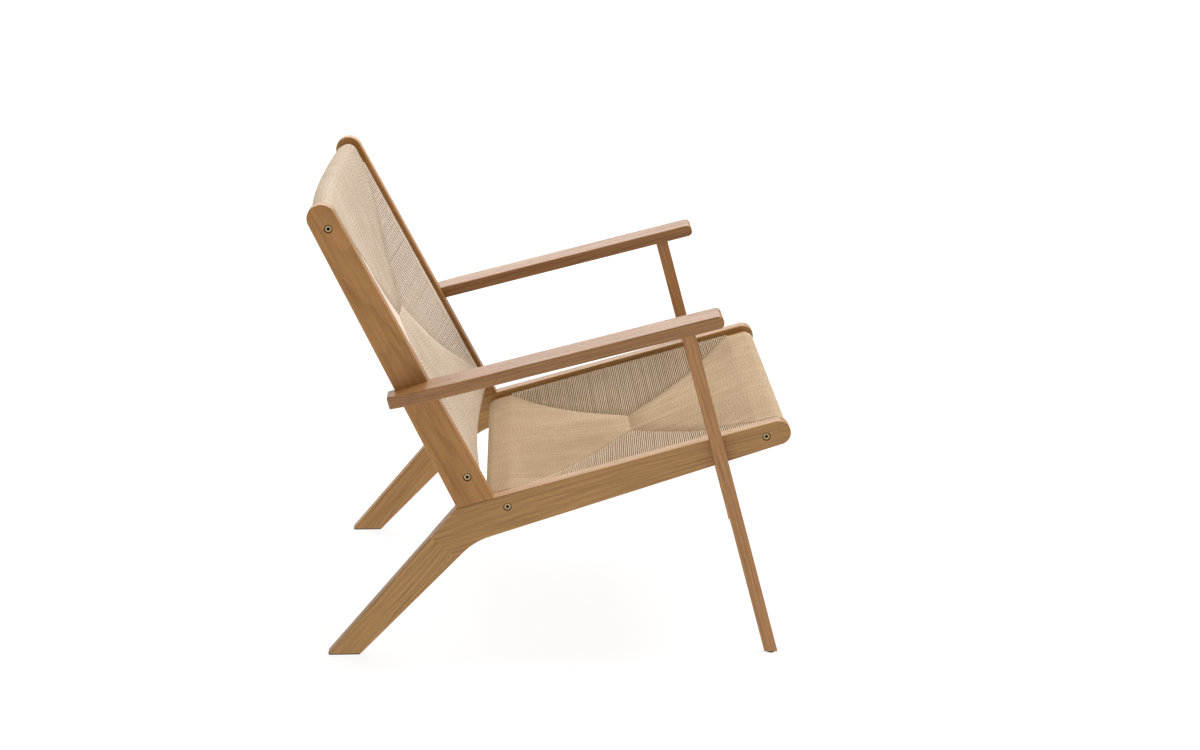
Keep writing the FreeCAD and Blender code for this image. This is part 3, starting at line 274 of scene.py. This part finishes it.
# Each board of a side frame: the tilt of its grain, and the light and dark of its own tone.
SIDE_BOARDS = {
    "rear_leg": (LEG_TILT, (0.51, 0.268, 0.079, 1), (0.245, 0.112, 0.026, 1)),
    "seat_rail": (SEAT_TILT, (0.455, 0.235, 0.065, 1), (0.22, 0.099, 0.022, 1)),
    "back_post": (BACK_TILT, (0.465, 0.212, 0.046, 1), (0.22, 0.088, 0.014, 1)),
    "front_leg": (FRONT_LEG_TILT, (0.52, 0.25, 0.082, 1), (0.25, 0.106, 0.028, 1)),
    "armrest": (ARM_TILT, (0.365, 0.170, 0.050, 1), (0.172, 0.071, 0.017, 1)),
}


def dress_wood():
    seed = 1
    for side in ("right", "left"):
        for piece, (tilt, light, dark) in SIDE_BOARDS.items():
            dress(f"{side}_{piece}", make_oak(f"oak_{side}_{piece}", seed, tilt, light=light, dark=dark))
            seed += 1
    for panel, cross_bars in (("seat", ("front", "rear")), ("back", ("bottom", "top"))):
        for bar in cross_bars:
            dress(f"{panel}_{bar}_bar", make_oak(f"oak_{panel}_{bar}_bar", seed, across=True))
            seed += 1
        for side in ("right", "left"):
            tilt = PANELS[panel]["tilt"]
            dress(f"{panel}_{side}_bar", make_oak(f"oak_{panel}_{side}_bar", seed, tilt))
            seed += 1
    beech = make_oak("dowel_wood", seed, across=True, light=LIGHT_BEECH, dark=DARK_BEECH)
    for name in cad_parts:
        if name.endswith(("_dowels", "_dowel")):
            dress(name, beech)


# ---------------------------------------------------------------- metal and foot pads

BOLT_FACE = 300.2 * MM          # outer face of a panel bolt's head, from the chair's middle
# A bolt's head is painted near-black below its face: painted shade in its hex socket and in the gap round its
# rim.
SOCKET_SHADE_STARTS = 0.3 * MM           # below that face
SOCKET_SHADE_DEEP = 1.2 * MM
SOCKET_SHADE = (0.012, 0.009, 0.006, 1)
BRONZE, BRIGHT_BRONZE = (0.40, 0.29, 0.15, 1), (0.55, 0.43, 0.25, 1)
ZINC, BRIGHT_ZINC = (0.56, 0.56, 0.55, 1), (0.7, 0.7, 0.69, 1)
FELT, WORN_FELT = (0.045, 0.038, 0.033, 1), (0.09, 0.08, 0.07, 1)
SCUFF_RELIEF = 0.1 * MM


def make_fine_wear():
    """Fine scuffs in a second colour, and a slightly cloudy gloss."""
    tree, given, out = new_group(
        "fine_wear",
        [("Place", "NodeSocketVector", None), ("Ground", "NodeSocketColor", (0.5, 0.5, 0.5, 1)),
         ("Scuff", "NodeSocketColor", (0.7, 0.7, 0.7, 1)), ("Roughness", "NodeSocketFloat", 0.4)],
        [("Colour", "NodeSocketColor", None), ("Roughness", "NodeSocketFloat", None),
         ("Height", "NodeSocketFloat", None)])
    cloud = noise(tree, given.outputs["Place"], 240.0, 3.0)
    scuffs = noise(tree, vector_arithmetic(tree, "MULTIPLY", given.outputs["Place"], (1, 1, 9)), 700.0, 2.0)
    colour = blend_colours(tree, ranged(tree, scuffs, 0.5, 0.75), given.outputs["Ground"],
                           given.outputs["Scuff"])
    roughness = arithmetic(tree, "ADD", given.outputs["Roughness"],
                           ranged(tree, cloud, 0.3, 0.7, -0.08, 0.1))
    for socket, source in (("Colour", colour), ("Roughness", roughness), ("Height", scuffs)):
        tree.links.new(source, out.inputs[socket])
    return tree


FINE_WEAR = make_fine_wear()


def make_worn_metal(name, colour, scuff_colour, roughness, metallic=1.0, face=None):
    """Metal or felt with fine wear. Below its face, across the chair, a bolt's head is painted near-black:
    painted shade in its socket and round its rim.
    """
    material, tree, surface = new_material(name)
    place = add_node(tree, "ShaderNodeTexCoord").outputs["Object"]
    wear = use_group(tree, FINE_WEAR, Place=place, Ground=colour, Scuff=scuff_colour, Roughness=roughness)
    shade = wear.outputs["Colour"]
    # painted shade: the head turns near-black deeper below its face
    if face:
        sideways = add_node(tree, "ShaderNodeSeparateXYZ", Vector=place).outputs["X"]
        unshaded = ranged(tree, arithmetic(tree, "ABSOLUTE", sideways), face - SOCKET_SHADE_DEEP, face - SOCKET_SHADE_STARTS)
        shade = blend_colours(tree, unshaded, SOCKET_SHADE, shade)
    bump = add_node(tree, "ShaderNodeBump", Strength=0.2, Distance=SCUFF_RELIEF,
                    Height=wear.outputs["Height"])
    feed(tree, surface, "Base Color", shade)
    feed(tree, surface, "Roughness", wear.outputs["Roughness"])
    feed(tree, surface, "Normal", bump.outputs[0])
    surface.inputs["Metallic"].default_value = metallic
    return material


def dress_fittings():
    bronze = make_worn_metal("bronze_bolt", BRONZE, BRIGHT_BRONZE, 0.36, face=BOLT_FACE)
    zinc = make_worn_metal("zinc_steel", ZINC, BRIGHT_ZINC, 0.38)
    pad = make_worn_metal("foot_pad_felt", FELT, WORN_FELT, 0.85, metallic=0.0)
    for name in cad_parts:
        if name.endswith("_panel_bolts"):
            dress(name, bronze)
        elif name.endswith(("_inserts", "_screw", "_screws")):
            dress(name, zinc)
        elif name.endswith("_foot_pad"):
            dress(name, pad)


# ---------------------------------------------------------------- paper cord

# One paper cord for both panels: the back's tones are painted lighter than the seat's, as painted light on
# the back panel.
SEAT_CORD_TONES = ((0.66, 0.50, 0.328, 1), (0.48, 0.34, 0.2, 1))
BACK_CORD_TONES = ((0.73, 0.60, 0.47, 1), (0.55, 0.435, 0.315, 1))
GAP_SHADOW_COLOUR = (0.065, 0.036, 0.018, 1)
CREASE_SHADE = (0.30, 0.2, 0.12, 1)
CORD_RELIEF = 0.4 * MM


def make_twisted_paper():
    """Twisted kraft paper, with painted shade in the creases of its twist. Run holds metres along the cord,
    turns round it and its own shade: a random tone, with painted shade or light added on some cords and
    painted shadow on the inner ones.
    """
    tree, given, out = new_group(
        "twisted_paper",
        [("Run", "NodeSocketVector", None), ("Place", "NodeSocketVector", None),
         ("Light Paper", "NodeSocketColor", (0.7, 0.55, 0.4, 1)),
         ("Dark Paper", "NodeSocketColor", (0.5, 0.37, 0.24, 1))],
        [("Colour", "NodeSocketColor", None), ("Roughness", "NodeSocketFloat", None),
         ("Height", "NodeSocketFloat", None)])
    along, around, own_shade = add_node(tree, "ShaderNodeSeparateXYZ", Vector=given.outputs["Run"]).outputs
    place = given.outputs["Place"]
    twist = arithmetic(tree, "ADD", arithmetic(tree, "MULTIPLY", along, TWISTS_PER_METRE),
                       arithmetic(tree, "MULTIPLY", around, PLIES))
    ply = arithmetic(tree, "ABSOLUTE", arithmetic(tree, "SINE", arithmetic(tree, "MULTIPLY", twist, math.pi)))
    # painted shade in the creases of the twist
    crease_shade = ranged(tree, ply, 0.0, 0.5, 1.0, 0.0)
    fibre = noise(tree, place, 900.0, 3.0, 0.6)
    patch = noise(tree, place, 26.0, 2.0)
    shade = arithmetic(tree, "MULTIPLY", own_shade, 0.5)
    shade = arithmetic(tree, "ADD", shade, ranged(tree, patch, 0.3, 0.7, 0.0, 0.25))
    shade = arithmetic(tree, "ADD", shade, ranged(tree, fibre, 0.3, 0.75, 0.0, 0.3), clamp=True)
    colour = blend_colours(tree, shade, given.outputs["Light Paper"], given.outputs["Dark Paper"])
    # painted shadow: inner cords turn near-black, as the gaps between the cords would be in shade
    gap_shadow = ranged(tree, own_shade, DARKEST_SHADE, FULL_GAP_SHADOW)
    colour = blend_colours(tree, gap_shadow, colour, GAP_SHADOW_COLOUR)
    colour = blend_colours(tree, arithmetic(tree, "MULTIPLY", crease_shade, 0.6), colour, CREASE_SHADE)
    roughness = ranged(tree, fibre, 0.3, 0.7, 0.66, 0.82)
    height = arithmetic(tree, "ADD", ply, arithmetic(tree, "MULTIPLY", fibre, 0.25))
    for socket, source in (("Colour", colour), ("Roughness", roughness), ("Height", height)):
        tree.links.new(source, out.inputs[socket])
    return tree


TWISTED_PAPER = make_twisted_paper()


def make_paper_cord(name, light, dark):
    material, tree, surface = new_material(name)
    run = add_node(tree, "ShaderNodeAttribute", {"attribute_name": "cord_run"}).outputs["Vector"]
    place = add_node(tree, "ShaderNodeTexCoord").outputs["Object"]
    paper = use_group(tree, TWISTED_PAPER, Run=run, Place=place, Light_Paper=light, Dark_Paper=dark)
    bump = add_node(tree, "ShaderNodeBump", Strength=0.5, Distance=CORD_RELIEF,
                    Height=paper.outputs["Height"])
    feed(tree, surface, "Base Color", paper.outputs["Colour"])
    feed(tree, surface, "Roughness", paper.outputs["Roughness"])
    feed(tree, surface, "Normal", bump.outputs[0])
    return material


def panel_to_chair(panel, points):
    """Points of a panel's frame, as (n, 3), in the chair's frame."""
    cosine, sine = math.cos(panel["tilt"]), math.sin(panel["tilt"])
    x, y, z = points[:, 0], points[:, 1], points[:, 2]
    turned = np.stack([x, y * cosine - z * sine, y * sine + z * cosine], axis=1)
    return turned + KNEE


def corner_arc(centre, radius, start, end, steps):
    angles = np.radians(np.linspace(start, end, steps))
    return [(centre[0] + radius * math.cos(a), centre[1] + radius * math.sin(a)) for a in angles]


def course(bar_width, bar_round, reach, dish, sag, drop, sink):
    """One cord from the underside, round a bar, and over the top to the middle, as (inwards, up).
    inwards is measured from the bar's inner edge. dish and sag are the depths of the hollow and of the
    underside at the middle, drop lowers the bar, and sink pulls the cord in."""
    top = BAR_TOP + CORD_RADIUS - sink
    bottom = BAR_BOTTOM - CORD_RADIUS + sink
    turn = bar_round + CORD_RADIUS - sink
    outer = -bar_width - CORD_RADIUS + sink
    line = [(reach, bottom - sag), (0.0, bottom - drop)]
    line += corner_arc((outer + turn, bottom + turn - drop), turn, 270, 180, 5)
    line += corner_arc((outer + turn, top - turn - drop), turn, 180, 90, 5)
    line.append((-BAR_LIP, top - drop))
    end_height = top - dish
    for share in RUN_SHARES:
        height = top - drop + share * (end_height - top + drop)
        line.append((share * max(reach - SEAM_DIP, 0.0), height))
    line.append((reach + SEAM_DIP / 2, end_height - SEAM_DROP))
    return np.array(line)


def cord_tubes(name, courses, radius, material, luck):
    """All the cords of one direction as closed tubes. Each course is (points, binormal, shade)."""
    turns = np.linspace(0, 2 * math.pi, CORD_SIDES, endpoint=False)
    vertices, faces, runs = [], [], []
    start = 0
    for points, binormal, shade in courses:
        steps = np.gradient(points, axis=0)
        along = steps / np.linalg.norm(steps, axis=1)[:, None]
        normal = np.cross(binormal, along)
        normal /= np.linalg.norm(normal, axis=1)[:, None]
        side = np.cross(along, normal)
        rings = points[:, None, :] + radius * (np.cos(turns)[None, :, None] * normal[:, None, :]
                                               + np.sin(turns)[None, :, None] * side[:, None, :])
        vertices.append(rings.reshape(-1, 3))
        travelled = np.concatenate([[0], np.cumsum(np.linalg.norm(np.diff(points, axis=0), axis=1))])
        travelled += luck.random()
        count = len(points)
        for ring in range(count - 1):
            for turn in range(CORD_SIDES):
                following = (turn + 1) % CORD_SIDES
                low, high = start + ring * CORD_SIDES, start + (ring + 1) * CORD_SIDES
                faces.append((low + turn, low + following, high + following, high + turn))
                near, far = travelled[ring], travelled[ring + 1]
                a, b = turn / CORD_SIDES, (turn + 1) / CORD_SIDES
                runs += [(near, a, shade), (near, b, shade), (far, b, shade), (far, a, shade)]
        last = start + (count - 1) * CORD_SIDES
        faces.append(tuple(start + turn for turn in reversed(range(CORD_SIDES))))
        faces.append(tuple(last + turn for turn in range(CORD_SIDES)))
        runs += [(travelled[0], 0, shade)] * CORD_SIDES + [(travelled[-1], 0, shade)] * CORD_SIDES
        start += count * CORD_SIDES
    mesh = bpy.data.meshes.new(name)
    mesh.from_pydata(np.concatenate(vertices).tolist(), [], faces)
    attribute = mesh.attributes.new("cord_run", "FLOAT_VECTOR", "CORNER")
    attribute.data.foreach_set("vector", np.array(runs, dtype=np.float32).ravel())
    mesh.polygons.foreach_set("use_smooth", [True] * len(mesh.polygons))
    mesh.materials.append(material)
    mesh.update()
    piece = bpy.data.objects.new(name, mesh)
    bpy.context.collection.objects.link(piece)
    return piece


def loosen(points, direction, slack, luck):
    """Bends a cord's top run a little sideways, most in its middle."""
    count = len(RUN_SHARES) + 1
    bend = slack * np.sin(math.pi * np.linspace(0, 1, count)) * luck.normal()
    bend += 0.5 * slack * luck.normal(size=count)
    shifted = points.copy()
    shifted[-count:] += bend[:, None] * direction
    return shifted


def hollow(panel, end, share):
    """Depth of the hollow on a diagonal, at a share of the way from a corner to the seam."""
    shares, depths = panel["low_profile" if end < 0 else "high_profile"]
    return float(np.interp(share, shares, depths)) * MM


def belly(depth):
    """How far the underside's cords sag below their bars, under a hollow of that depth."""
    return BELLY_SAG * (depth / DEEPEST_HOLLOW) ** 2


def lengthwise_courses(panel, luck):
    """Cords over the two cross bars, packed side by side, out to the diagonals and the seam."""
    half_length = (panel["high"] - panel["low"]) / 2
    middle = (panel["high"] + panel["low"]) / 2
    count = int(2 * OPENING_HALF / CORD_PITCH)
    courses = []
    for x in (np.arange(count) + 0.5) * 2 * OPENING_HALF / count - OPENING_HALF:
        share = min((OPENING_HALF - abs(x)) / (OPENING_HALF - panel["seam_half"]), 1.0)
        bow = panel["bow"] * (1 - (x / OPENING_HALF) ** 2)
        for end in (-1, 1):
            depth = hollow(panel, end, share)
            line = course(CROSS_BAR, CROSS_BAR_ROUND, share * half_length, max(depth, bow),
                          max(belly(depth), bow), bow, 0.0)
            y = middle + end * (half_length - line[:, 0])
            points = panel_to_chair(panel, np.stack([np.full(len(line), x), y, line[:, 1]], axis=1))
            # a random tone, plus painted shade on the cords over the seat's rear bar, as cast by the back
            shade = min(luck.random() + (panel["high_painted_shade"] if end > 0 else 0.0), DARKEST_SHADE)
            courses.append((loosen(points, ACROSS, LONG_CORD_SLACK, luck), -end * ACROSS, shade))
    return courses


def crosswise_courses(panel, luck):
    """Cords over the two side bars, a little apart, with an inner cord in each gap, painted near-black as the
    shadow there.
    """
    half_length = (panel["high"] - panel["low"]) / 2
    middle = (panel["high"] + panel["low"]) / 2
    along = np.array([0.0, math.cos(panel["tilt"]), math.sin(panel["tilt"])])
    count = int(half_length / CORD_PITCH) * 4
    courses = []
    for index, y in enumerate((np.arange(count) + 0.5) * 2 * half_length / count - half_length):
        share = 1 - abs(y) / half_length
        depth = hollow(panel, y, share)
        gap_shadow = index % 2 == 1
        reach = share * (OPENING_HALF - panel["seam_half"])
        bow = panel["bow"] * (1 - ((OPENING_HALF - reach) / OPENING_HALF) ** 2)
        line = course(SIDE_BAR, SIDE_BAR_ROUND, reach, depth, max(belly(depth), bow), 0.0,
                      UNDER_CORD_SINK if gap_shadow else SIDE_CORD_SPREAD * luck.random())
        for side in (-1, 1):
            x = side * (OPENING_HALF - line[:, 0])
            points = panel_to_chair(panel, np.stack([x, np.full(len(line), middle + y), line[:, 1]], axis=1))
            # an inner cord is painted as the shadow in its gap; an outer cord's random tone gets the panel's
            # painted shade or painted light
            shade = panel["inner_painted_shadow"] if gap_shadow else panel["side_painted_shade"] + luck.random()
            courses.append((loosen(points, along, SIDE_CORD_SLACK, luck), side * along, shade))
    return courses


def weave(name, seed, material):
    """A panel's cord, in two pieces by direction."""
    panel = PANELS[name]
    luck = np.random.default_rng(seed)
    for direction, radius, courses in (("lengthwise", CORD_RADIUS, lengthwise_courses(panel, luck)),
                                       ("crosswise", SIDE_CORD_RADIUS, crosswise_courses(panel, luck))):
        piece = cord_tubes(f"{name}_cord_{direction}", courses, radius, material, luck)
        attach(piece, "root")
        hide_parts(f"{name}_weave")


# ---------------------------------------------------------------- floor, light and camera

FLOOR_HALF = 40.0
PALE_FLOOR = ((0.25, 0.25, 0.25, 1), (0.23, 0.23, 0.23, 1))
FLOOR_GLOW = 0.85
OVERHEAD_PLACE = (1.1, -1.3, 4.0)
WINDOW_PLACE = (4.2, 0.4, 2.6)
LIGHT_TARGET = (0, 0, 0.3)
SKY_STRENGTH = 0.5
OVERHEAD_STRENGTH = 2.5
OVERHEAD_SPREAD = math.radians(40)
WINDOW_WATTS = 110
WINDOW_SIZE = 4.0
LENS_MM = 66
SENSOR_MM = 36
CAMERA_PLACE = (-3.583, 0.0445, 1.428)
CAMERA_DOWN = math.radians(16.349)
CAMERA_SWING = math.radians(2.112)


def make_floor():
    material, tree, surface = new_material("pale_floor")
    place = add_node(tree, "ShaderNodeTexCoord").outputs["Object"]
    cloud = ranged(tree, noise(tree, place, 0.7, 2.0), 0.3, 0.7)
    feed(tree, surface, "Base Color", blend_colours(tree, cloud, *PALE_FLOOR))
    surface.inputs["Roughness"].default_value = 0.9
    surface.inputs["Specular IOR Level"].default_value = 0.1
    surface.inputs["Emission Color"].default_value = (1, 1, 1, 1)
    surface.inputs["Emission Strength"].default_value = FLOOR_GLOW
    mesh = bpy.data.meshes.new("floor")
    corners = [(x * FLOOR_HALF, y * FLOOR_HALF, 0) for x, y in ((-1, -1), (1, -1), (1, 1), (-1, 1))]
    mesh.from_pydata(corners, [], [(0, 1, 2, 3)])
    mesh.materials.append(material)
    floor = bpy.data.objects.new("floor", mesh)
    bpy.context.collection.objects.link(floor)


def aim(thing, place, target):
    thing.location = place
    thing.rotation_euler = (Vector(target) - Vector(place)).to_track_quat("-Z", "Y").to_euler()


def make_light():
    world = bpy.data.worlds.new("studio")
    world.use_nodes = True
    world.node_tree.nodes["Background"].inputs["Color"].default_value = (1, 1, 1, 1)
    world.node_tree.nodes["Background"].inputs["Strength"].default_value = SKY_STRENGTH
    bpy.context.scene.world = world
    overhead = bpy.data.lights.new("overhead", "SUN")
    overhead.energy = OVERHEAD_STRENGTH
    overhead.angle = OVERHEAD_SPREAD
    window = bpy.data.lights.new("window", "AREA")
    window.energy = WINDOW_WATTS
    window.size = WINDOW_SIZE
    for lamp, place in ((overhead, OVERHEAD_PLACE), (window, WINDOW_PLACE)):
        light = bpy.data.objects.new(lamp.name, lamp)
        bpy.context.collection.objects.link(light)
        aim(light, place, LIGHT_TARGET)


def make_camera():
    lens = bpy.data.cameras.new("view")
    lens.lens = LENS_MM
    lens.sensor_width = SENSOR_MM
    camera = bpy.data.objects.new("view", lens)
    bpy.context.collection.objects.link(camera)
    level = math.cos(CAMERA_DOWN)
    towards = Vector((level * math.cos(CAMERA_SWING), -level * math.sin(CAMERA_SWING),
                      -math.sin(CAMERA_DOWN)))
    aim(camera, CAMERA_PLACE, Vector(CAMERA_PLACE) + towards)
    bpy.context.scene.camera = camera


dress_wood()
dress_fittings()
# the back's cord is painted lighter than the seat's: painted light
weave("seat", 11, make_paper_cord("paper_cord_seat", *SEAT_CORD_TONES))
weave("back", 12, make_paper_cord("paper_cord_back", *BACK_CORD_TONES))
make_floor()
make_light()
make_camera()
bpy.context.scene.view_settings.view_transform = "Standard"
